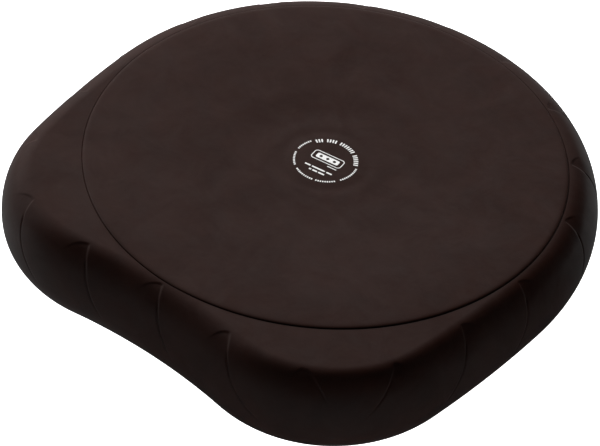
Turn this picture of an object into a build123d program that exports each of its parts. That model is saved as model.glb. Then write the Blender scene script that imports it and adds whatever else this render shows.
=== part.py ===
from build123d import *
import os
from math import asin, atan, atan2, cos, degrees, hypot, pi, radians, sin, sqrt

# A wedge-shaped inflatable wobble cushion. Millimetres, +Z up, standing on the floor at z = 0.
# The coccyx recess faces -Y and the thin edge faces +Y; the outline mirrors about X = 0.

# Outline at the widest line of the wall: a large circle, two lobes, flat-curved sides that join
# them, and a shallow recess between the lobes.
MAIN_R = 185.0
MAIN_Y = 0.9
LOBE_R = 100.0
LOBE_X = 77.7
LOBE_Y = -85.9
SIDE_R = 713.0
RECESS_R = 419.0

# Slanted top: height of the seat circle's centre, and fall per millimetre towards +Y.
TOP_HEIGHT = 55.7
TOP_SLOPE = 0.078
SEAT_Y = 3.2

# Wall section: a half ellipse whose widest line lies at this share of the local height.
WAIST = 0.41
SHOULDER_INSET = 23.0
FOOT_INSET = 28.5
SKIN = 3.0

# Where the skin is split into panels, as angles on the wall section (-90 floor, 0 waist, 90 top).
FOOT_CUT = -61.5
LOW_CUT = -3.0
HIGH_CUT = 3.0
RIM_CUT = 62.0
CUT_GAP = 0.8
OPENING = 6.0

# Seat disc inside the thin groove.
SEAT_R = 162.5
GROOVE = 0.4
PAD_R = 112.0
SEAT_RAISE = 0.5
DIMPLE_OUTER_R = 70.0
DIMPLE_INNER_R = 37.0
DIMPLE_DEPTH = 2.75

# Underside: a shallow round recess with grip nubs that reach the floor.
SOLE_R = 128.0
SOLE_DEPTH = 1.0
NUB_R = 3.0
NUB_ROWS = ((36.0, 8), (66.0, 14), (96.0, 20))

# Inflation valve in the left wall, on the pitch axis.
VALVE_Y = 0.7
VALVE_Z = 30.5
VALVE_FACE_X = -184.2
BOSS_R = 7.5
BOSS_FLANGE = 5.0
BOSS_TUBE_R = 5.2
BOSS_LENGTH = 18.0
SLEEVE_R = 3.4
SLEEVE_BORE_R = 2.1
PLUG_HEAD_R = 4.6
PLUG_HEAD = 1.3
PLUG_STEM_R = 1.95
PLUG_LENGTH = 13.0

# Generic printed marks in the middle of the seat: a ring of strokes, tall along its upper arc and
# low round the rest, a framed bar with round holes, and a few plain bars.
MARK_TURN = 7.5
MARK_X = 0.3
MARK_THICK = 0.2
TALL_INNER_R = 18.5
TALL_OUTER_R = 21.6
TALL_ARC = (26.0, 150.0)
TALL_STROKES = 23
TALL_BLANKS = (6, 14, 19)
LOW_INNER_R = 20.8
LOW_OUTER_R = 22.1
LOW_STROKES = 54
LOW_BLANKS = (8, 9, 19, 20, 31, 41, 42)
FRAME = (23.0, 9.0, 2.4)
FRAME_LINE = 0.6
BAR = (17.0, 4.6, 1.2)
HOLE_R = 1.15


def top_height(y):
    return TOP_HEIGHT - TOP_SLOPE * (y - SEAT_Y)


def side_circle():
    """Centre of the right side's circle, which encloses the main circle and the lobe and touches both."""
    to_main, to_lobe = SIDE_R - MAIN_R, SIDE_R - LOBE_R
    span = hypot(LOBE_X, LOBE_Y - MAIN_Y)
    along = (to_main**2 - to_lobe**2 + span**2) / (2 * span)
    across = sqrt(to_main**2 - along**2)
    ux, uy = LOBE_X / span, (LOBE_Y - MAIN_Y) / span
    return along * ux + across * uy, MAIN_Y + along * uy - across * ux


def section(angle, inner=False):
    """Closed wire round the wall at an angle on its section, on a plane that slants with the top."""
    a = radians(angle)
    reach = SHOULDER_INSET if angle >= 0 else FOOT_INSET
    inset = reach * (1 - cos(a)) + (SKIN if inner else 0.0)
    share = WAIST + (1 - WAIST) * sin(a) if angle >= 0 else WAIST * (1 + sin(a))
    drop = SKIN * sin(a) if inner else 0.0

    def point(x, y):
        return Vector(x, y, share * top_height(y) - drop)

    main_r = MAIN_R - inset
    lobe_r = LOBE_R - inset
    side_r = SIDE_R - inset
    side_x, side_y = side_circle()
    main_turn = atan2(MAIN_Y - side_y, -side_x)
    lobe_turn = atan2(LOBE_Y - side_y, LOBE_X - side_x)
    recess_y = LOBE_Y - sqrt((LOBE_R + RECESS_R) ** 2 - LOBE_X**2)
    recess_r = RECESS_R + inset
    meet = -pi / 2 - asin(LOBE_X / (LOBE_R + RECESS_R))
    lobe_middle = (lobe_turn + meet) / 2
    side_middle = (main_turn + lobe_turn) / 2

    def on_lobe(side, t):
        return point(side * (LOBE_X + lobe_r * cos(t)), LOBE_Y + lobe_r * sin(t))

    def on_main(side, t):
        return point(side * main_r * cos(t), MAIN_Y + main_r * sin(t))

    def on_side(side, t):
        return point(side * (side_x + side_r * cos(t)), side_y + side_r * sin(t))

    edges = [
        Edge.make_three_point_arc(on_main(1, main_turn), on_main(1, pi / 2), on_main(-1, main_turn)),
        Edge.make_three_point_arc(on_main(-1, main_turn), on_side(-1, side_middle), on_lobe(-1, lobe_turn)),
        Edge.make_three_point_arc(on_lobe(-1, lobe_turn), on_lobe(-1, lobe_middle), on_lobe(-1, meet)),
        Edge.make_three_point_arc(on_lobe(-1, meet), point(0, recess_y + recess_r), on_lobe(1, meet)),
        Edge.make_three_point_arc(on_lobe(1, meet), on_lobe(1, lobe_middle), on_lobe(1, lobe_turn)),
        Edge.make_three_point_arc(on_lobe(1, lobe_turn), on_side(1, side_middle), on_main(1, main_turn)),
    ]
    return Wire(edges)


def wall_solid(start, end, inner=False):
    """Solid inside the wall's outer or inner surface between two angles on its section."""
    steps = max(2, int(abs(end - start) / 11) + 1)
    angles = [start + (end - start) * k / steps for k in range(steps + 1)]
    return Solid.make_loft([section(a, inner) for a in angles])


def wall_band(start, end):
    """Hollow band of the skin between two angles on its section, open at both ends."""
    band = wall_solid(start, end) - wall_solid(start, end, inner=True)
    for angle, rise in ((start, -OPENING), (end, OPENING)):
        mouth = section(angle, inner=True)
        band -= Solid.make_loft([mouth, mouth.moved(Location((0, 0, rise)))])
    return band


def seat_location():
    """Middle of the seat circle, with local Z square to the slanted top."""
    return Location((0, SEAT_Y, TOP_HEIGHT), (-degrees(atan(TOP_SLOPE)), 0, 0))


def on_seat(shape):
    return shape.moved(seat_location())


def disc(radius, low, high):
    return Pos(0, 0, low) * Cylinder(radius, high - low, align=(Align.CENTER, Align.CENTER, Align.MIN))


def x_rod(radius, outer_x, length):
    """Round bar along X that runs inwards from outer_x, on the valve's axis."""
    bar = Cylinder(radius, length, align=(Align.CENTER, Align.CENTER, Align.MIN))
    return Pos(outer_x, VALVE_Y, VALVE_Z) * Rot(0, 90, 0) * bar


def make_base_panel():
    panel = wall_solid(-90.0, FOOT_CUT - CUT_GAP / 2)
    panel -= Pos(0, SEAT_Y, 0) * disc(SOLE_R, -1.0, SOLE_DEPTH)
    for radius, count in NUB_ROWS:
        for k in range(count):
            turn = 2 * pi * k / count
            panel += Pos(radius * cos(turn), SEAT_Y + radius * sin(turn), 0) * disc(NUB_R, 0.0, SOLE_DEPTH + 0.2)
    return panel


def make_lower_wall():
    return wall_band(FOOT_CUT + CUT_GAP / 2, LOW_CUT - CUT_GAP / 2)


def make_waist_band():
    return wall_band(LOW_CUT + CUT_GAP / 2, HIGH_CUT - CUT_GAP / 2) - x_rod(BOSS_R + 0.2, -200.0, 40.0)


def make_upper_wall():
    return wall_band(HIGH_CUT + CUT_GAP / 2, RIM_CUT - CUT_GAP / 2) - x_rod(BOSS_R + 0.2, -200.0, 40.0)


def make_top_rim():
    start = RIM_CUT + CUT_GAP / 2
    rim = wall_solid(start, 90.0) - wall_solid(start - 12.0, 90.0, inner=True)
    return rim - on_seat(disc(SEAT_R + GROOVE, -30.0, 20.0))


def make_seat_membrane():
    low = SEAT_RAISE - SKIN
    ring = disc(SEAT_R, low, SEAT_RAISE) - disc(PAD_R + GROOVE, low - 1, SEAT_RAISE + 1)
    edge = ring.edges().filter_by(GeomType.CIRCLE).sort_by(Axis.Z)[-2:].sort_by(SortBy.RADIUS)[-1]
    return on_seat(fillet(edge, 0.6))


def make_seat_pad():
    top = SEAT_RAISE
    low = SEAT_RAISE - SKIN
    sunk = top - DIMPLE_DEPTH
    upper = Spline((DIMPLE_OUTER_R, top), (DIMPLE_INNER_R, sunk), tangents=((-1, 0), (-1, 0)))
    lower = Spline((DIMPLE_OUTER_R, low), (DIMPLE_INNER_R, sunk - SKIN), tangents=((-1, 0), (-1, 0)))
    profile = Wire(
        [
            Edge.make_line((0, sunk), (0, sunk - SKIN)),
            Edge.make_line((0, sunk - SKIN), (DIMPLE_INNER_R, sunk - SKIN)),
            *lower.edges(),
            Edge.make_line((DIMPLE_OUTER_R, low), (PAD_R, low)),
            Edge.make_line((PAD_R, low), (PAD_R, top)),
            Edge.make_line((PAD_R, top), (DIMPLE_OUTER_R, top)),
            *upper.edges(),
            Edge.make_line((DIMPLE_INNER_R, sunk), (0, sunk)),
        ]
    )
    return on_seat(revolve(Rot(90, 0, 0) * Face(profile), Axis.Z))


def raise_mark(sketch):
    """Ink layer on the sunken middle of the seat."""
    layer = extrude(sketch, MARK_THICK)
    return on_seat(Pos(0, 0, SEAT_RAISE - DIMPLE_DEPTH + 0.02) * layer)


def strokes(inner_r, outer_r, first, last, count, blanks, share):
    """Short radial strokes on a ring between two angles, with some left out."""
    band = Circle(outer_r) - Circle(inner_r)
    pitch = radians(last - first) / count
    reach = 2 * outer_r
    marks = Sketch()
    for k in range(count):
        if k in blanks:
            continue
        low = radians(first) + pitch * (k + (1 - share) / 2)
        high = low + pitch * share
        wedge = Polygon(
            (0, 0), (reach * cos(low), reach * sin(low)), (reach * cos(high), reach * sin(high)), align=None
        )
        marks += band & wedge
    return marks


def make_print_ring():
    start, end = TALL_ARC
    tall = strokes(TALL_INNER_R, TALL_OUTER_R, start, end, TALL_STROKES, TALL_BLANKS, 0.52)
    low = strokes(LOW_INNER_R, LOW_OUTER_R, end + 6.0, start + 354.0, LOW_STROKES, LOW_BLANKS, 0.62)
    return raise_mark(tall + low)


def make_print_badge():
    length, width, corner = FRAME
    trim = 2 * FRAME_LINE
    frame = RectangleRounded(length, width, corner)
    frame -= RectangleRounded(length - trim, width - trim, corner - FRAME_LINE)
    bar = RectangleRounded(*BAR)
    bar -= Sketch() + [Pos(x, 0) * Circle(HOLE_R) for x in (-5.2, 0.0, 5.2)]
    return raise_mark(Rot(0, 0, MARK_TURN) * Pos(MARK_X, 1.8) * (frame + bar))


def make_print_lines():
    bars = Sketch()
    for x, length in ((-8.3, 4.2), (0.0, 10.0), (8.3, 4.2)):
        bars += Pos(MARK_X + x, -10.2) * Rectangle(length, 1.2)
    bars += Pos(MARK_X + 7.0, -4.6) * Rectangle(7.0, 0.7)
    for x, length in ((-4.6, 1.6), (-1.0, 3.6), (4.0, 4.6)):
        bars += Pos(MARK_X + x, -13.3) * Rectangle(length, 1.3)
    return raise_mark(Rot(0, 0, MARK_TURN) * bars)


def make_valve_boss():
    flange = x_rod(BOSS_R, VALVE_FACE_X, BOSS_FLANGE)
    flange = fillet(flange.edges().filter_by(GeomType.CIRCLE).sort_by(Axis.X)[0], 0.8)
    body = flange + x_rod(BOSS_TUBE_R, VALVE_FACE_X, BOSS_LENGTH)
    body -= x_rod(PLUG_HEAD_R + 0.4, VALVE_FACE_X - 1, 1 + PLUG_HEAD + 0.3)
    return body - x_rod(SLEEVE_R + 0.05, VALVE_FACE_X - 1, BOSS_LENGTH + 2)


def make_valve_sleeve():
    mouth = VALVE_FACE_X + PLUG_HEAD + 0.4
    sleeve = x_rod(SLEEVE_R, mouth, BOSS_LENGTH)
    return sleeve - x_rod(SLEEVE_BORE_R, mouth - 1, BOSS_LENGTH)


def make_valve_plug():
    head = x_rod(PLUG_HEAD_R, VALVE_FACE_X, PLUG_HEAD)
    head = fillet(head.edges().filter_by(GeomType.CIRCLE).sort_by(Axis.X)[0], 0.5)
    stem = x_rod(PLUG_STEM_R, VALVE_FACE_X + PLUG_HEAD - 0.2, PLUG_LENGTH)
    tip = stem.edges().filter_by(GeomType.CIRCLE).sort_by(Axis.X)[-1]
    grip = x_rod(PLUG_HEAD_R, VALVE_FACE_X - 1, 1.5) - x_rod(PLUG_HEAD_R - 1.2, VALVE_FACE_X - 1, 1.5)
    notch = grip & Pos(VALVE_FACE_X, VALVE_Y, VALVE_Z + PLUG_HEAD_R) * Box(3.0, 3.0, 3.0)
    return head + chamfer(tip, 0.6) - notch


PIECES = {
    "base_panel": make_base_panel,
    "lower_wall": make_lower_wall,
    "waist_band": make_waist_band,
    "upper_wall": make_upper_wall,
    "top_rim": make_top_rim,
    "seat_membrane": make_seat_membrane,
    "seat_pad": make_seat_pad,
    "print_ring": make_print_ring,
    "print_badge": make_print_badge,
    "print_lines": make_print_lines,
    "valve_boss": make_valve_boss,
    "valve_sleeve": make_valve_sleeve,
    "valve_plug": make_valve_plug,
}

os.makedirs("parts", exist_ok=True)
for node, make in PIECES.items():
    export_step(make(), f"parts/{node}.step")
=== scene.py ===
"""Looks of an inflatable wedge-shaped wobble cushion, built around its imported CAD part."""

from math import asin, atan, atan2, cos, hypot, pi, radians, sin, sqrt

import bpy
import numpy as np
from mathutils import Matrix, Vector


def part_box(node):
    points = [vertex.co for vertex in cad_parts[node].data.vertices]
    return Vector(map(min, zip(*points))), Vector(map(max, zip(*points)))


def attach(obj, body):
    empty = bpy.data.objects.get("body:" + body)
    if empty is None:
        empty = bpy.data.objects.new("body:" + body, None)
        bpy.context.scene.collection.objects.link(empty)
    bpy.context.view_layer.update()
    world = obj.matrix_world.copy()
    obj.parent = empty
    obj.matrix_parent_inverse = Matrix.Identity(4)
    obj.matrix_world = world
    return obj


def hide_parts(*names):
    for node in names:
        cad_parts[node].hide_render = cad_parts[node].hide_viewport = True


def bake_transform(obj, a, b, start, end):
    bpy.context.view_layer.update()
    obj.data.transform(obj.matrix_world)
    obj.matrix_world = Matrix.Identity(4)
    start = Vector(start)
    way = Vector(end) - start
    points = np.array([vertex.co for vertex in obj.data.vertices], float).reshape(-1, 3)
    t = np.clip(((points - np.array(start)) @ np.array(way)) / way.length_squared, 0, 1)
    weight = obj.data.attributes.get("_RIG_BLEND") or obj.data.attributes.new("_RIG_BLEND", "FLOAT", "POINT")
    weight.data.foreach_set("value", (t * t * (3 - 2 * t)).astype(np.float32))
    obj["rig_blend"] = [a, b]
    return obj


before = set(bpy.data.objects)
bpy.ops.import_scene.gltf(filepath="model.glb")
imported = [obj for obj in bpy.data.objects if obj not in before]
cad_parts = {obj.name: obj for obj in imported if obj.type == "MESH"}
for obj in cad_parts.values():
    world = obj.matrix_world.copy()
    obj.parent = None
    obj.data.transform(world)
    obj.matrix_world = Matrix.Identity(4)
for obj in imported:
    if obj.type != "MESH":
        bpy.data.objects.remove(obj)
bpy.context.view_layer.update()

MM = 0.001


def node_box_mm(node):
    low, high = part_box(node)
    return np.array(low) / MM, np.array(high) / MM


# --- shape, in millimetres -------------------------------------------------------------------

BAND_LOW, BAND_HIGH = node_box_mm("waist_band")
SEAT_LOW, SEAT_HIGH = node_box_mm("seat_membrane")
BOSS_LOW, BOSS_HIGH = node_box_mm("valve_boss")

MAIN_R = 185.0
MAIN_Y = BAND_HIGH[1] - MAIN_R
LOBE_R = 100.0
LOBE_X = 77.7
LOBE_Y = BAND_LOW[1] + LOBE_R
SIDE_R = 713.0
RECESS_R = 419.0

TOP_HEIGHT = 55.7
TOP_SLOPE = 0.078
SEAT_Y = 3.2
WAIST = 0.41
SHOULDER_INSET = 23.0
FOOT_INSET = 28.5
SKIN = 2.6
RIM_ANGLE = 62.0
SOLE_R = 128.0
SOLE_DEPTH = 1.0
SOLE_EDGE = 0.6
THICK_EDGE = 65.0

SEAT_R = (SEAT_HIGH[0] - SEAT_LOW[0]) / 2
SEAT_RAISE = 1.1
PAD_R = 112.0
SEAT_FOLLOW_R = 128.0
DISH_OUTER_R = 154.0
DISH_INNER_R = 66.0
DISH_DEPTH = 2.25
RING_OUTER_R = (76.0, 102.0)
RING_INNER_R = (46.0, 36.0)
RING_DEPTH = 1.3
CROWN_OUTER_R = 46.0
CROWN_INNER_R = 30.0
CROWN_HEIGHT = 0.2
DIMPLE_DEPTH = DISH_DEPTH + RING_DEPTH - CROWN_HEIGHT
SAG_TURN = -68.0
SAG_POWER = 1.5
MOAT_R = 29.0
MOAT_WIDTH = 4.5
MOAT_DEPTH = 0.3
GROOVE_WIDTH = 0.35
GROOVE_DEPTH = 0.5
# The groove's outer wall: shares of its width and of its depth, from the rim down.
GROOVE_WALL = ((0.1, 0.04), (0.3, 0.2), (0.5, 0.5), (0.75, 0.85), (1.0, 1.0))
# The disc's edge rolls down into the groove: distance in from the edge, and drop below the disc.
ROLL_DOWN = ((0.0, 1.35), (0.06, 1.05), (0.2, 0.77), (0.5, 0.55), (0.9, 0.39), (1.4, 0.25), (2.0, 0.15),
             (2.7, 0.08), (3.5, 0.033), (4.4, 0.01))
ROLL_END = 5.7

VALVE_Y = (BOSS_LOW[1] + BOSS_HIGH[1]) / 2
VALVE_Z = (BOSS_LOW[2] + BOSS_HIGH[2]) / 2
VALVE_HOLE_R = 6.9
VALVE_LAND_R = 8.2
VALVE_SPREAD_R = 14.0
VALVE_LAND_X = BOSS_LOW[0] + 0.7
VALVE_SIDE_X = -150.0

COLUMNS = 1920
DISC_COLUMNS = 480
INNER_ROWS = 9
SOLE_ROWS, FOOT_ROWS, LOW_ROWS, HIGH_ROWS, RIM_ROWS = 10, 16, 34, 48, 46
SOLE_DISC_ROWS = 24

NUB_R = 3.0
NUB_SIDES = 20
NUB_RINGS = ((36.0, 8), (66.0, 14), (96.0, 20))
# Shares of the recess's depth and of the nub's radius, from its root to its tip.
NUB_PROFILE = ((1.05, 1.25), (0.8, 1.0), (0.35, 0.93), (0.1, 0.74), (0.0, 0.45))

# Moulded fins: azimuth in degrees of the crease's top about the seat's centre, the side its sunken flank
# lies on (-1 clockwise seen from above, +1 the other way), how far the crease sweeps on its way down, how
# steeply the arch over the flank falls, how much the crease's top is rounded, and where it fades out below.
FINS = (
    (235.0, -1, 38.0, 0.037, 0.0, -4.0),
    (251.5, -1, 22.0, 0.039, 0.0, -4.0),
    (270.0, -1, 27.0, 0.060, 0.0, -3.0),
    (288.8, -1, 45.0, 0.110, 2.0, -4.0),
    (305.0, -1, 12.0, 0.100, 24.0, 22.0),
    (322.2, 1, 58.0, 0.110, 0.0, 10.0),
    (338.8, 1, 34.0, 0.070, 0.0, -3.0),
    (357.2, 1, 26.0, 0.060, 0.0, -3.0),
    (21.0, 1, 25.0, 0.060, 0.0, -3.0),
    (40.8, 1, 25.0, 0.060, 0.0, -3.0),
    (61.0, 1, 25.0, 0.060, 0.0, -3.0),
    (81.0, 1, 25.0, 0.060, 0.0, -3.0),
    (101.0, 1, 25.0, 0.060, 0.0, -3.0),
    (120.0, 1, 25.0, 0.060, 0.0, -3.0),
    (144.0, -1, 25.0, 0.060, 0.0, -3.0),
    (164.0, -1, 25.0, 0.060, 0.0, -3.0),
    (199.0, -1, 28.0, 0.050, 0.0, -4.0),
    (217.0, -1, 36.0, 0.045, 0.0, -4.0),
)
# Heights are distances up the wall's section from the waist.
FIN_TOP = 44.5
FIN_FOOT = -2.0
FIN_FOOT_FADE = 12.0
FIN_ARCH_SOFTNESS = 2.4
FIN_DEPTH = 0.55
FIN_STEP = 0.8
FIN_LOW_SHARE = 0.1
FIN_LOW_TOP, FIN_HIGH_BASE = 24.0, 39.0
FIN_CUT_DEPTH = 0.6
FIN_CUT_WIDTH = 0.75
FIN_CUT_SHIFT = 0.5
FIN_CUT_TOP, FIN_CUT_FADE = 35.5, 6.0
FIN_REACH = {-1: 16.0, 1: 10.0}
FIN_INSET = 13.0


def smooth(x):
    x = np.clip(x, 0.0, 1.0)
    return x * x * (3 - 2 * x)


def top_height(y):
    return TOP_HEIGHT - TOP_SLOPE * (y - SEAT_Y)


def outline(count):
    """Points, outward normals and distances at equal steps round the widest line."""
    to_main, to_lobe = SIDE_R - MAIN_R, SIDE_R - LOBE_R
    span = hypot(LOBE_X, LOBE_Y - MAIN_Y)
    along = (to_main**2 - to_lobe**2 + span**2) / (2 * span)
    across = sqrt(to_main**2 - along**2)
    ux, uy = LOBE_X / span, (LOBE_Y - MAIN_Y) / span
    side_x, side_y = along * ux + across * uy, MAIN_Y + along * uy - across * ux
    main_turn = atan2(MAIN_Y - side_y, -side_x)
    lobe_turn = atan2(LOBE_Y - side_y, LOBE_X - side_x)
    lean = asin(LOBE_X / (LOBE_R + RECESS_R))
    meet = -pi / 2 - lean
    recess_y = LOBE_Y - sqrt((LOBE_R + RECESS_R) ** 2 - LOBE_X**2)
    arcs = (
        ((0.0, MAIN_Y), MAIN_R, main_turn, pi - main_turn, 1),
        ((-side_x, side_y), SIDE_R, pi - main_turn, pi - lobe_turn, 1),
        ((-LOBE_X, LOBE_Y), LOBE_R, pi - lobe_turn, pi - meet, 1),
        ((0.0, recess_y), RECESS_R, pi / 2 + lean, pi / 2 - lean, -1),
        ((LOBE_X, LOBE_Y), LOBE_R, meet, lobe_turn, 1),
        ((side_x, side_y), SIDE_R, lobe_turn, main_turn, 1),
    )
    lengths = [radius * abs(end - start) for _, radius, start, end, _ in arcs]
    marks = np.cumsum([0.0] + lengths)
    travel = np.arange(count) / count * marks[-1]
    points = np.zeros((count, 2))
    normals = np.zeros((count, 2))
    for k, (centre, radius, start, end, side) in enumerate(arcs):
        on = (travel >= marks[k]) & (travel < marks[k + 1])
        turn = start + (end - start) * (travel[on] - marks[k]) / lengths[k]
        around = np.stack([np.cos(turn), np.sin(turn)], -1)
        points[on] = np.array(centre) + radius * around
        normals[on] = around * side
    return points, normals, travel, marks[-1]


def inset_to_circle(points, normals, radius, tilt):
    """How far in from the outline each column meets a circle about the seat's centre."""
    squash = np.array([1.0, 1.0 / cos(tilt)])
    q = (points - np.array([0.0, SEAT_Y])) * squash
    n = normals * squash
    a = (n * n).sum(1)
    b = (q * n).sum(1)
    c = (q * q).sum(1) - radius**2
    return (b - np.sqrt(b * b - a * c)) / a


def nominal_rise(angle):
    """Distance up the wall's section from the waist, on a wall of the thick edge's height."""
    steps = np.radians(np.linspace(0.0, 90.0, 181))
    middle = (steps[1:] + steps[:-1]) / 2
    d = steps[1] - steps[0]
    high, low = (1 - WAIST) * THICK_EDGE, WAIST * THICK_EDGE
    up = np.hypot(SHOULDER_INSET * np.sin(middle), high * np.cos(middle)) * d
    down = np.hypot(FOOT_INSET * np.sin(middle), low * np.cos(middle)) * d
    up, down = (np.concatenate([[0.0], np.cumsum(part)]) for part in (up, down))
    a = np.radians(np.abs(angle))
    return np.where(angle >= 0, np.interp(a, steps, up), -np.interp(a, steps, down))


def wall_place(points, normals, angle):
    """Wall points at an angle per column on the section (-90 floor, 0 waist, 90 top), and height shares."""
    a = np.radians(angle)
    reach = np.where(angle >= 0, SHOULDER_INSET, FOOT_INSET)
    inset = reach * (1 - np.cos(a))
    share = np.where(angle >= 0, WAIST + (1 - WAIST) * np.sin(a), WAIST * (1 + np.sin(a)))
    xy = points - normals * inset[:, None]
    z = share * top_height(xy[:, 1])
    return np.column_stack([xy, z]), share


def fin_sink(travel, rise, length, azimuths):
    """How far the fins sink the wall, from the distance round it and the distance up its section."""
    sink = np.zeros_like(rise)
    fall = np.clip((FIN_TOP - rise) / (FIN_TOP - FIN_FOOT), 0.0, 1.25)
    for azimuth, side, reach, arch, rounding, foot in FINS:
        nearest = np.argmin(np.abs((azimuths - azimuth + 180) % 360 - 180))
        sweep = reach * (0.6 * fall + 0.4 * fall**4) + rounding * np.sqrt(fall)
        crease = travel[nearest] - side * sweep
        flank = ((travel[None, :] - crease + length / 2) % length - length / 2) * side
        top = ((travel[None, :] - travel[nearest] + length / 2) % length - length / 2) * side
        roof = FIN_TOP - arch * np.clip(top, 0, None) ** 2
        under = smooth((roof - rise) / FIN_ARCH_SOFTNESS + 0.5)
        step = smooth(flank / FIN_STEP / 2 + 0.5)
        fade = np.exp(-((np.clip(flank, 0, None) / FIN_REACH[side]) ** 2))
        low = smooth((rise - foot) / FIN_FOOT_FADE)
        high = smooth((rise - FIN_LOW_TOP) / (FIN_HIGH_BASE - FIN_LOW_TOP))
        sink += FIN_DEPTH * step * under * fade * low * (FIN_LOW_SHARE + (1 - FIN_LOW_SHARE) * high)
        cut = np.exp(-(((flank - FIN_CUT_SHIFT) / FIN_CUT_WIDTH) ** 2))
        sink += FIN_CUT_DEPTH * cut * smooth((FIN_CUT_TOP - rise) / FIN_CUT_FADE) * low
    return sink


def grid_normals(grid):
    """Outward unit normals of a grid of points whose columns go round and rows go up."""
    round_ = np.roll(grid, -1, 1) - np.roll(grid, 1, 1)
    up = np.gradient(grid, axis=0)
    normals = np.cross(round_, up)
    return normals / np.maximum(np.linalg.norm(normals, axis=-1, keepdims=True), 1e-9)


# --- mesh building ---------------------------------------------------------------------------


def make_mesh(name, points, faces, normals=None):
    """Mesh object from points in millimetres."""
    mesh = bpy.data.meshes.new(name)
    mesh.from_pydata((np.asarray(points) * MM).tolist(), [], faces)
    mesh.validate()
    mesh.polygons.foreach_set("use_smooth", np.ones(len(mesh.polygons), bool))
    if normals is not None:
        mesh.normals_split_custom_set_from_vertices(np.asarray(normals).tolist())
    mesh.update()
    piece = bpy.data.objects.new(name, mesh)
    bpy.context.scene.collection.objects.link(piece)
    return piece


def inner_rows(count):
    """The rows of an outer layer that its inner layer repeats."""
    return np.unique(np.linspace(0, count - 1, INNER_ROWS).round().astype(int))


def strip_faces(rows, columns, start=0, flip=False):
    """Quads of a grid that closes on itself round its columns."""
    j, i = np.meshgrid(np.arange(rows - 1), np.arange(columns), indexing="ij")
    k = (i + 1) % columns
    a, b = start + j * columns + i, start + j * columns + k
    c, d = start + (j + 1) * columns + k, start + (j + 1) * columns + i
    quads = np.stack([a, b, c, d] if not flip else [d, c, b, a], -1)
    return quads.reshape(-1, 4)


def panel(name, grid, normals, hole=None):
    """Closed panel of skin: the outer grid, an inner layer with fewer rows, and the two edges."""
    rows, columns = grid.shape[:2]
    picks = inner_rows(rows)
    inner = grid[picks] - normals[picks] * SKIN
    points = np.concatenate([grid.reshape(-1, 3), inner.reshape(-1, 3)])
    shade = np.concatenate([normals.reshape(-1, 3), -normals[picks].reshape(-1, 3)])
    base = rows * columns
    layers = [strip_faces(rows, columns), strip_faces(len(picks), columns, base, flip=True)]
    if hole is not None:
        layers = [faces[~hole(points[faces].mean(1))] for faces in layers]
    i = np.arange(columns)
    k = (i + 1) % columns
    low = np.stack([base + i, base + k, k, i], -1)
    last, inner_last = (rows - 1) * columns, base + (len(picks) - 1) * columns
    high = np.stack([last + i, last + k, inner_last + k, inner_last + i], -1)
    faces = np.concatenate([*layers, low, high]).tolist()
    return make_mesh(name, points, faces, shade)


def set_blend(piece, share):
    """Weights that follow the skin's own shape instead of two planes."""
    attribute = piece.data.attributes["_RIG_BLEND"]
    attribute.data.foreach_set("value", share.astype(np.float32))


# --- skin round the wall, from the sole's recess up to the seat groove -------------------------

points, normals, travel, length = outline(COLUMNS)
shoulder = points - normals * FIN_INSET
azimuths = np.degrees(np.arctan2(shoulder[:, 1] - SEAT_Y, shoulder[:, 0])) % 360
tilt = atan(TOP_SLOPE)
to_groove = inset_to_circle(points, normals, SEAT_R + GROOVE_WIDTH, tilt)
to_sole = inset_to_circle(points, normals, SOLE_R, 0.0)

rows, rises, shares = [], [], []


def add_row(place, rise, share):
    rows.append(place)
    rises.append(np.broadcast_to(rise, (COLUMNS,)))
    shares.append(np.broadcast_to(share, (COLUMNS,)))


for step in (0.0, 0.35, 1.0):
    xy = points - normals * (to_sole + SOLE_EDGE * (1 - step))[:, None]
    add_row(np.column_stack([xy, np.full(COLUMNS, SOLE_DEPTH * (1 - step))]), -90.0, 0.0)
for k in range(1, SOLE_ROWS):
    inset = FOOT_INSET + (to_sole - FOOT_INSET) * (1 - k / SOLE_ROWS)
    add_row(np.column_stack([points - normals * inset[:, None], np.zeros(COLUMNS)]), -80.0, 0.0)
for angle in np.linspace(-90.0, -RIM_ANGLE, FOOT_ROWS, endpoint=False):
    place, share = wall_place(points, normals, np.full(COLUMNS, angle))
    add_row(place, nominal_rise(np.full(COLUMNS, angle)), share)
FOOT_END = len(rows)
for angle in np.linspace(-RIM_ANGLE, 0.0, LOW_ROWS, endpoint=False):
    place, share = wall_place(points, normals, np.full(COLUMNS, angle))
    add_row(place, nominal_rise(np.full(COLUMNS, angle)), share)
LOW_END = len(rows)
for angle in np.linspace(0.0, RIM_ANGLE, HIGH_ROWS, endpoint=False):
    place, share = wall_place(points, normals, np.full(COLUMNS, angle))
    add_row(place, nominal_rise(np.full(COLUMNS, angle)), share)
HIGH_END = len(rows)

rim_start = SHOULDER_INSET * (1 - cos(radians(RIM_ANGLE)))
for k in range(RIM_ROWS):
    inset = rim_start + (to_groove - rim_start) * (k / (RIM_ROWS - 1))
    curved = np.clip(inset / SHOULDER_INSET, 0.0, 1.0)
    angle = np.degrees(np.arccos(1 - curved))
    xy = points - normals * inset[:, None]
    share = WAIST + (1 - WAIST) * np.sin(np.radians(angle))
    rise = nominal_rise(angle) + np.clip(inset - SHOULDER_INSET, 0.0, None)
    add_row(np.column_stack([xy, share * top_height(xy[:, 1])]), rise, share)
SURFACE_END = len(rows)
for step, drop in GROOVE_WALL:
    place = rows[SURFACE_END - 1].copy()
    place[:, :2] -= normals * (GROOVE_WIDTH * step)
    place[:, 2] -= GROOVE_DEPTH * drop
    add_row(place, 90.0, 1.0)

skin = np.array(rows)
rise = np.array(rises)
share = np.array(shares)
flat = grid_normals(skin)
sink = fin_sink(travel, rise, length, azimuths)
sink[:FOOT_END] *= smooth((rise[:FOOT_END] + 60) / 30)
sink[SURFACE_END:] = 0.0
skin = skin - flat * sink[..., None]

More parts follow.
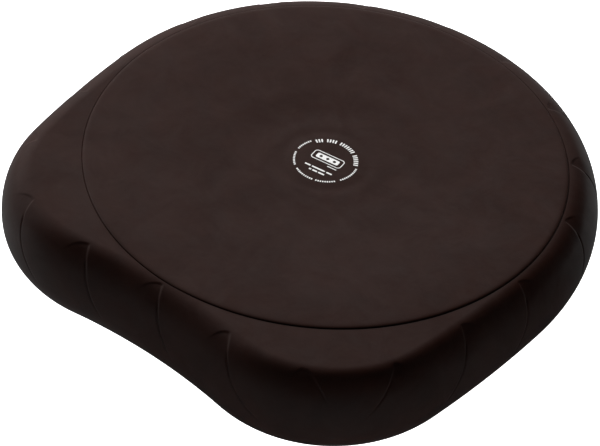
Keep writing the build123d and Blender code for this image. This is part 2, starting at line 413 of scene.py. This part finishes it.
# A flat land round the valve, so that the housing's flange stands just proud of it.
across = np.hypot(skin[..., 1] - VALVE_Y, skin[..., 2] - VALVE_Z)
pull = smooth((VALVE_SPREAD_R - across) / (VALVE_SPREAD_R - VALVE_LAND_R)) * (skin[..., 0] < VALVE_SIDE_X)
skin[..., 0] += pull * (VALVE_LAND_X - skin[..., 0])

skin_normals = grid_normals(skin)


def over_valve(middle):
    from_valve = np.hypot(middle[:, 1] - VALVE_Y, middle[:, 2] - VALVE_Z)
    return (from_valve < VALVE_HOLE_R) & (middle[:, 0] < VALVE_SIDE_X)


def skin_panel(name, first, last, hole=None):
    return panel(name, skin[first:last], skin_normals[first:last], hole)


def panel_share(first, last):
    part = share[first:last]
    return np.concatenate([part.ravel(), part[inner_rows(last - first)].ravel()])


foot = skin_panel("foot_skin", 0, FOOT_END + 1)
low_wall = skin_panel("lower_wall_skin", FOOT_END, LOW_END + 1)
high_wall = skin_panel("upper_wall_skin", LOW_END, HIGH_END + 1, over_valve)
rim = skin_panel("rim_skin", HIGH_END, len(rows))

# --- seat disc -------------------------------------------------------------------------------

SEAT_NORMAL = Vector((0.0, TOP_SLOPE, 1.0)).normalized()
SEAT_UP = Vector((0.0, 1.0, -TOP_SLOPE)).normalized()
SEAT_AXES = np.array([(1.0, 0.0, 0.0), tuple(SEAT_UP), tuple(SEAT_NORMAL)])
SEAT_CENTRE = np.array([0.0, SEAT_Y, TOP_HEIGHT])

ring_local = (skin[-1] - SEAT_CENTRE) @ SEAT_AXES.T
pick = np.arange(0, COLUMNS, COLUMNS // DISC_COLUMNS)
turns = np.arctan2(ring_local[pick, 1], ring_local[pick, 0])

profile = [(SEAT_R + 0.05, -GROOVE_DEPTH - 0.05)]
profile += [(SEAT_R - inward, SEAT_RAISE - drop) for inward, drop in ROLL_DOWN]
for radius in np.concatenate([np.linspace(SEAT_R - ROLL_END, 76.0, 50), np.linspace(74.0, 20.0, 46),
                              np.linspace(17.0, 4.0, 6)]):
    profile.append((radius, SEAT_RAISE))
profile = np.array(profile)
local = np.zeros((len(profile), DISC_COLUMNS, 3))
local[..., 0] = profile[:, :1] * np.cos(turns)
local[..., 1] = profile[:, :1] * np.sin(turns)
local[..., 2] = profile[:, 1:]
# The seat is a wide shallow dish with a dimple that runs out more slowly towards one side. Its middle
# is crowned again, with a narrow moat round the print.
lean = (0.5 + 0.5 * np.cos(turns - radians(SAG_TURN))) ** SAG_POWER
outer_r = RING_OUTER_R[0] + (RING_OUTER_R[1] - RING_OUTER_R[0]) * lean
inner_r = RING_INNER_R[0] + (RING_INNER_R[1] - RING_INNER_R[0]) * lean
away = profile[:, :1]
local[..., 2] -= DISH_DEPTH * smooth((DISH_OUTER_R - away) / (DISH_OUTER_R - DISH_INNER_R))
local[..., 2] -= RING_DEPTH * smooth((outer_r - away) / (outer_r - inner_r))
local[..., 2] += CROWN_HEIGHT * smooth((CROWN_OUTER_R - away) / (CROWN_OUTER_R - CROWN_INNER_R))
local[..., 2] -= MOAT_DEPTH * np.exp(-(((away - MOAT_R) / MOAT_WIDTH) ** 2))
# The disc's rim follows the rounded shoulder where the shoulder falls away under the groove.
edge_drop = ring_local[pick, 2] + GROOVE_DEPTH
near_rim = smooth((away - SEAT_FOLLOW_R) / (SEAT_R - SEAT_FOLLOW_R))
local[..., 2] += near_rim * np.minimum(edge_drop, 0.0)[None, :]
seat_grid = local @ SEAT_AXES + SEAT_CENTRE
seat_normals = grid_normals(seat_grid)


def disc_panel(name, grid, normals, middle, middle_normal):
    """Closed disc of skin from an outer ring inwards, with a fan of triangles in the middle."""
    rows, columns = grid.shape[:2]
    picks = inner_rows(rows)
    inner = grid[picks] - normals[picks] * SKIN
    tips = np.array([middle, middle - middle_normal * SKIN])
    all_points = np.concatenate([grid.reshape(-1, 3), inner.reshape(-1, 3), tips])
    shade = np.concatenate([normals.reshape(-1, 3), -normals[picks].reshape(-1, 3),
                            [middle_normal, -middle_normal]])
    base, tip = rows * columns, len(all_points) - 2
    i = np.arange(columns)
    k = (i + 1) % columns
    edge = np.stack([base + i, base + k, k, i], -1)
    last, inner_last = (rows - 1) * columns, base + (len(picks) - 1) * columns
    faces = strip_faces(rows, columns).tolist() + strip_faces(len(picks), columns, base, True).tolist()
    faces += edge.tolist()
    faces += [(last + int(a), last + int(b), tip) for a, b in zip(i, k)]
    faces += [(inner_last + int(b), inner_last + int(a), tip + 1) for a, b in zip(i, k)]
    return make_mesh(name, all_points, faces, shade), picks


seat_middle = SEAT_CENTRE + np.array(SEAT_NORMAL) * (SEAT_RAISE - DIMPLE_DEPTH)
seat, seat_picks = disc_panel("seat_skin", seat_grid, seat_normals, seat_middle, np.array(SEAT_NORMAL))

sole_turns = np.arctan2(points[pick, 1] - normals[pick, 1] * to_sole[pick] - SEAT_Y,
                        points[pick, 0] - normals[pick, 0] * to_sole[pick])
sole_radii = np.linspace(3.0, SOLE_R - SOLE_EDGE, SOLE_DISC_ROWS)
sole_grid = np.zeros((SOLE_DISC_ROWS, DISC_COLUMNS, 3))
sole_grid[..., 0] = sole_radii[:, None] * np.cos(sole_turns)
sole_grid[..., 1] = sole_radii[:, None] * np.sin(sole_turns) + SEAT_Y
sole_grid[..., 2] = SOLE_DEPTH
sole_grid = sole_grid[::-1, ::-1]
down = np.array([0.0, 0.0, -1.0])
sole, _ = disc_panel("sole_skin", sole_grid, np.broadcast_to(down, sole_grid.shape),
                     np.array([0.0, SEAT_Y, SOLE_DEPTH]), down)

nub_points, nub_faces = [], []
for ring_r, count in NUB_RINGS:
    for k in range(count):
        centre = np.array([ring_r * cos(2 * pi * k / count), SEAT_Y + ring_r * sin(2 * pi * k / count)])
        start = len(nub_points)
        tip = start + (len(NUB_PROFILE) - 1) * NUB_SIDES
        for level, width in NUB_PROFILE:
            for t in np.arange(NUB_SIDES) * 2 * pi / NUB_SIDES:
                nub_points.append((centre[0] + NUB_R * width * cos(t),
                                   centre[1] + NUB_R * width * sin(t), SOLE_DEPTH * level))
        nub_faces += strip_faces(len(NUB_PROFILE), NUB_SIDES, start, flip=True).tolist()
        nub_faces.append([tip + n for n in range(NUB_SIDES)][::-1])
        nub_faces.append([start + n for n in range(NUB_SIDES)])
nubs = make_mesh("grip_nubs", nub_points, nub_faces)

# --- materials -------------------------------------------------------------------------------


class Nodes:
    """Short hand for building a material's node tree."""

    def __init__(self, name):
        self.material = bpy.data.materials.new(name)
        self.material.use_nodes = True
        self.tree = self.material.node_tree
        self.shader = self.tree.nodes["Principled BSDF"]
        self.place = self.add("ShaderNodeTexCoord").outputs["Object"]

    def add(self, kind, **values):
        node = self.tree.nodes.new(kind)
        for key, value in values.items():
            if hasattr(node, key):
                setattr(node, key, value)
            else:
                node.inputs[key.replace("_", " ")].default_value = value
        return node

    def link(self, a, b):
        self.tree.links.new(a, b)

    def noise(self, scale, detail=2.0, rough=0.5, distort=0.0):
        node = self.add("ShaderNodeTexNoise", Scale=scale, Detail=detail, Roughness=rough, Distortion=distort)
        self.link(self.place, node.inputs["Vector"])
        return node.outputs["Fac"]

    def ramp(self, source, stops):
        node = self.add("ShaderNodeValToRGB")
        ramp = node.color_ramp
        while len(ramp.elements) < len(stops):
            ramp.elements.new(0.5)
        for element, (at, colour) in zip(ramp.elements, stops):
            element.position = at
            element.color = (*colour, 1.0) if len(colour) == 3 else colour
        self.link(source, node.inputs["Fac"])
        return node.outputs["Color"]

    def span(self, source, low, high, out_low, out_high):
        node = self.add("ShaderNodeMapRange")
        for key, value in (("From Min", low), ("From Max", high), ("To Min", out_low), ("To Max", out_high)):
            node.inputs[key].default_value = value
        self.link(source, node.inputs["Value"])
        return node.outputs["Result"]

    def bump(self, height, distance, strength=1.0, before=None):
        node = self.add("ShaderNodeBump", Strength=strength, Distance=distance)
        self.link(height, node.inputs["Height"])
        if before is not None:
            self.link(before, node.inputs["Normal"])
        return node.outputs["Normal"]


def soft_pvc():
    m = Nodes("soft_pvc")
    broad = m.noise(42.0, 4.0, 0.6, 0.6)
    colour = m.ramp(broad, ((0.28, (0.0130, 0.0035, 0.0019)), (0.72, (0.0182, 0.0050, 0.0028))))
    m.link(colour, m.shader.inputs["Base Color"])
    smear = m.noise(55.0, 4.0, 0.62, 1.2)
    m.link(m.span(smear, 0.25, 0.75, 0.30, 0.37), m.shader.inputs["Roughness"])
    bloom = m.noise(38.0, 6.0, 0.66, 0.6)
    m.link(m.span(bloom, 0.25, 0.75, 0.38, 0.64), m.shader.inputs["Specular IOR Level"])
    m.shader.inputs["IOR"].default_value = 1.5
    grain = m.noise(2600.0, 2.0, 0.5)
    ripple = m.noise(130.0, 2.0, 0.5)
    fine = m.bump(grain, 0.00006, 0.35)
    m.link(m.bump(ripple, 0.00025, 0.5, fine), m.shader.inputs["Normal"])
    return m.material


def ink():
    m = Nodes("white_ink")
    patch = m.noise(900.0, 3.0, 0.6)
    colour = m.ramp(patch, ((0.25, (0.62, 0.61, 0.60)), (0.6, (0.86, 0.86, 0.85))))
    m.link(colour, m.shader.inputs["Base Color"])
    m.link(m.span(patch, 0.2, 0.8, 0.42, 0.58), m.shader.inputs["Roughness"])
    m.link(m.bump(m.noise(2600.0), 0.00004, 0.4), m.shader.inputs["Normal"])
    return m.material


def valve_plastic(name, dark, light, rough):
    m = Nodes(name)
    m.link(m.ramp(m.noise(220.0, 3.0), ((0.3, dark), (0.7, light))), m.shader.inputs["Base Color"])
    m.link(m.span(m.noise(500.0, 3.0), 0.25, 0.75, rough - 0.05, rough + 0.07), m.shader.inputs["Roughness"])
    m.link(m.bump(m.noise(3200.0), 0.00004, 0.3), m.shader.inputs["Normal"])
    return m.material


PVC = soft_pvc()
INK = ink()
RUBBER = valve_plastic("valve_rubber", (0.012, 0.011, 0.011), (0.022, 0.020, 0.019), 0.6)
PLUG = valve_plastic("valve_plug_plastic", (0.020, 0.014, 0.012), (0.034, 0.025, 0.022), 0.38)


def finish_with(piece, material):
    piece.data.materials.clear()
    piece.data.materials.append(material)


for piece in (foot, low_wall, high_wall, rim, seat, sole, nubs):
    finish_with(piece, PVC)
for node in ("print_ring", "print_badge", "print_lines"):
    finish_with(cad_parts[node], INK)
finish_with(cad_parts["valve_boss"], PVC)
finish_with(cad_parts["valve_sleeve"], RUBBER)
finish_with(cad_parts["valve_plug"], PLUG)

# --- how the pieces follow the CAD bodies ------------------------------------------------------

LOW_START, LOW_STOP = 0.052, 0.40
HIGH_START, HIGH_STOP = 0.44, 0.925
SEAT_HOLD = 3.0
middle_height = TOP_HEIGHT * MM

for piece in (foot, sole, nubs):
    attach(piece, "base")
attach(rim, "rim")
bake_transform(low_wall, "base", "rocker",
         start=(0, 0, LOW_START * middle_height), end=(0, 0, LOW_STOP * middle_height))
set_blend(low_wall, smooth((panel_share(FOOT_END, LOW_END + 1) - LOW_START) / (LOW_STOP - LOW_START)))
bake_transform(high_wall, "rocker", "rim",
         start=(0, 0, HIGH_START * middle_height), end=(0, 0, HIGH_STOP * middle_height))
set_blend(high_wall, smooth((panel_share(LOW_END, HIGH_END + 1) - HIGH_START) / (HIGH_STOP - HIGH_START)))
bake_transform(seat, "rim", "seat", start=(0, SEAT_R * MM, middle_height), end=(0, PAD_R * MM, middle_height))
seat_radius = np.concatenate([np.repeat(profile[:, 0], DISC_COLUMNS),
                              np.repeat(profile[seat_picks, 0], DISC_COLUMNS), [0.0, 0.0]])
set_blend(seat, smooth((SEAT_R - SEAT_HOLD - seat_radius) / (SEAT_R - SEAT_HOLD - PAD_R)))

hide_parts("base_panel")
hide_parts("lower_wall")
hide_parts("upper_wall", "waist_band")
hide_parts("top_rim")
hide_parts("seat_membrane", "seat_pad")

# --- floor, light and camera -------------------------------------------------------------------

LOOK_AZIMUTH = radians(39.31)
ELEVATION = radians(45.99)
ROLL = radians(0.448)
SENSOR = 36.0
LENS = 182.01
# Millimetres from the seat's centre to the camera, back along the view, to its left and down in the view.
DISTANCE = 2023.0
LEFT, BELOW = 17.486, 43.341

ahead = Vector((-sin(LOOK_AZIMUTH), cos(LOOK_AZIMUTH), 0.0))
level_right = Vector((cos(LOOK_AZIMUTH), sin(LOOK_AZIMUTH), 0.0))
forward = ahead * cos(ELEVATION) - Vector((0, 0, 1)) * sin(ELEVATION)
above = level_right.cross(forward)
right = level_right * cos(ROLL) + above * sin(ROLL)
above = above * cos(ROLL) - level_right * sin(ROLL)
view_right = Vector((right.x, right.y, 0.0)).normalized()
eye = Vector(SEAT_CENTRE) - forward * DISTANCE - right * LEFT - above * BELOW

camera_data = bpy.data.cameras.new("camera")
camera_data.sensor_width = SENSOR
camera_data.lens = LENS
camera_data.clip_start = 0.05
camera_data.clip_end = 60.0
camera = bpy.data.objects.new("camera", camera_data)
bpy.context.scene.collection.objects.link(camera)
turn = Matrix((right, above, -forward)).transposed().to_4x4()
camera.matrix_world = Matrix.Translation(eye * MM) @ turn
bpy.context.scene.camera = camera

FLOOR = 9.0
FLOOR_GREY = 0.30
FLOOR_GLOW = 2.1
# Glossy rays see the floor in a painted tone of its own: a painted shadow, dim on the near side, and painted
# light, brighter from just past the middle.
PAINTED_FLOOR_LIGHT_TURN = 8.0
PAINTED_FLOOR_SHADE_FROM, PAINTED_FLOOR_SHADE_TO = -0.12, 0.02
PAINTED_FLOOR_SHADOW, PAINTED_FLOOR_LIGHT = 0.035, 0.20


def far_left(turn_degrees):
    """Level direction away from the camera, turned to its left."""
    turn = radians(turn_degrees)
    return (ahead * cos(turn) - view_right * sin(turn)).normalized()


def pale_floor():
    paper = bpy.data.materials.new("pale_floor")
    paper.use_nodes = True
    nodes, link = paper.node_tree.nodes, paper.node_tree.links.new
    plain = nodes["Principled BSDF"]
    plain.inputs["Base Color"].default_value = (FLOOR_GREY, FLOOR_GREY, FLOOR_GREY, 1)
    plain.inputs["Roughness"].default_value = 0.9
    plain.inputs["Emission Color"].default_value = (1, 1, 1, 1)
    plain.inputs["Emission Strength"].default_value = FLOOR_GLOW
    place = nodes.new("ShaderNodeTexCoord")
    along = nodes.new("ShaderNodeVectorMath")
    along.operation = "DOT_PRODUCT"
    along.inputs[1].default_value = far_left(PAINTED_FLOOR_LIGHT_TURN)
    fall = nodes.new("ShaderNodeMapRange")
    for key, value in (("From Min", PAINTED_FLOOR_SHADE_FROM), ("From Max", PAINTED_FLOOR_SHADE_TO),
                       ("To Min", PAINTED_FLOOR_SHADOW), ("To Max", PAINTED_FLOOR_LIGHT)):
        fall.inputs[key].default_value = value
    # Emission seen only in reflections: painted shadow on the floor's near side, painted light further on.
    painted_floor_light_and_shadow = nodes.new("ShaderNodeEmission")
    ray = nodes.new("ShaderNodeLightPath")
    choice = nodes.new("ShaderNodeMixShader")
    link(place.outputs["Object"], along.inputs[0])
    link(along.outputs["Value"], fall.inputs["Value"])
    link(fall.outputs["Result"], painted_floor_light_and_shadow.inputs["Color"])
    link(ray.outputs["Is Glossy Ray"], choice.inputs["Fac"])
    link(plain.outputs["BSDF"], choice.inputs[1])
    link(painted_floor_light_and_shadow.outputs["Emission"], choice.inputs[2])
    link(choice.outputs["Shader"], nodes["Material Output"].inputs["Surface"])
    paper.cycles.emission_sampling = "NONE"
    return paper


floor_mesh = bpy.data.meshes.new("floor")
floor_mesh.from_pydata([(-FLOOR, -FLOOR, 0), (FLOOR, -FLOOR, 0), (FLOOR, FLOOR, 0), (-FLOOR, FLOOR, 0)], [],
                       [(0, 1, 2, 3)])
floor_mesh.materials.append(pale_floor())
floor = bpy.data.objects.new("floor", floor_mesh)
bpy.context.scene.collection.objects.link(floor)


def panel_light(name, bearing, elevation, distance, size, power, glossy=True):
    """Soft rectangular light aimed at the cushion; bearing 0 is beyond it as the camera sees it."""
    a = radians(bearing)
    level = view_right * sin(a) + ahead * cos(a)
    place = level * cos(radians(elevation)) * distance + Vector((0, 0, sin(radians(elevation)) * distance))
    data = bpy.data.lights.new(name, "AREA")
    data.shape = "RECTANGLE"
    data.size, data.size_y = size
    data.energy = power
    lamp = bpy.data.objects.new(name, data)
    lamp.location = place
    lamp.rotation_mode = "QUATERNION"
    lamp.rotation_quaternion = (-place).to_track_quat("-Z", "Y")
    lamp.visible_glossy = glossy
    bpy.context.scene.collection.objects.link(lamp)


panel_light("key", bearing=-20.0, elevation=28.0, distance=2.4, size=(2.0, 0.8), power=143.0, glossy=False)

# The room is dim on the near side and brightens smoothly towards the far side. Where it is seen directly,
# it is a plain pale backdrop.
ROOM_TURN = 26.0
ROOM_ELEVATION = radians(15)
ROOM_TONES = ((0.0, 0.008), (0.62, 0.012), (0.75, 0.055), (0.908, 0.335), (1.0, 0.40))
BACKDROP = 0.95


def studio():
    world = bpy.data.worlds.new("studio")
    world.use_nodes = True
    nodes, link = world.node_tree.nodes, world.node_tree.links.new
    room = nodes["Background"]
    direction = nodes.new("ShaderNodeTexCoord")
    facing = nodes.new("ShaderNodeVectorMath")
    facing.operation = "DOT_PRODUCT"
    up = Vector((0, 0, sin(ROOM_ELEVATION)))
    facing.inputs[1].default_value = far_left(ROOM_TURN) * cos(ROOM_ELEVATION) + up
    spread = nodes.new("ShaderNodeMapRange")
    spread.inputs["From Min"].default_value = -1.0
    tones = nodes.new("ShaderNodeValToRGB")
    while len(tones.color_ramp.elements) < len(ROOM_TONES):
        tones.color_ramp.elements.new(0.5)
    for element, (at, tone) in zip(tones.color_ramp.elements, ROOM_TONES):
        element.position = at
        element.color = (tone, tone, tone, 1)
    pale = nodes.new("ShaderNodeBackground")
    pale.inputs["Color"].default_value = (BACKDROP, BACKDROP, BACKDROP, 1)
    path = nodes.new("ShaderNodeLightPath")
    choice = nodes.new("ShaderNodeMixShader")
    link(direction.outputs["Generated"], facing.inputs[0])
    link(facing.outputs["Value"], spread.inputs["Value"])
    link(spread.outputs["Result"], tones.inputs["Fac"])
    link(tones.outputs["Color"], room.inputs["Color"])
    link(path.outputs["Is Camera Ray"], choice.inputs["Fac"])
    link(room.outputs["Background"], choice.inputs[1])
    link(pale.outputs["Background"], choice.inputs[2])
    link(choice.outputs["Shader"], nodes["World Output"].inputs["Surface"])
    return world


bpy.context.scene.world = studio()
bpy.context.scene.view_settings.view_transform = "Standard"
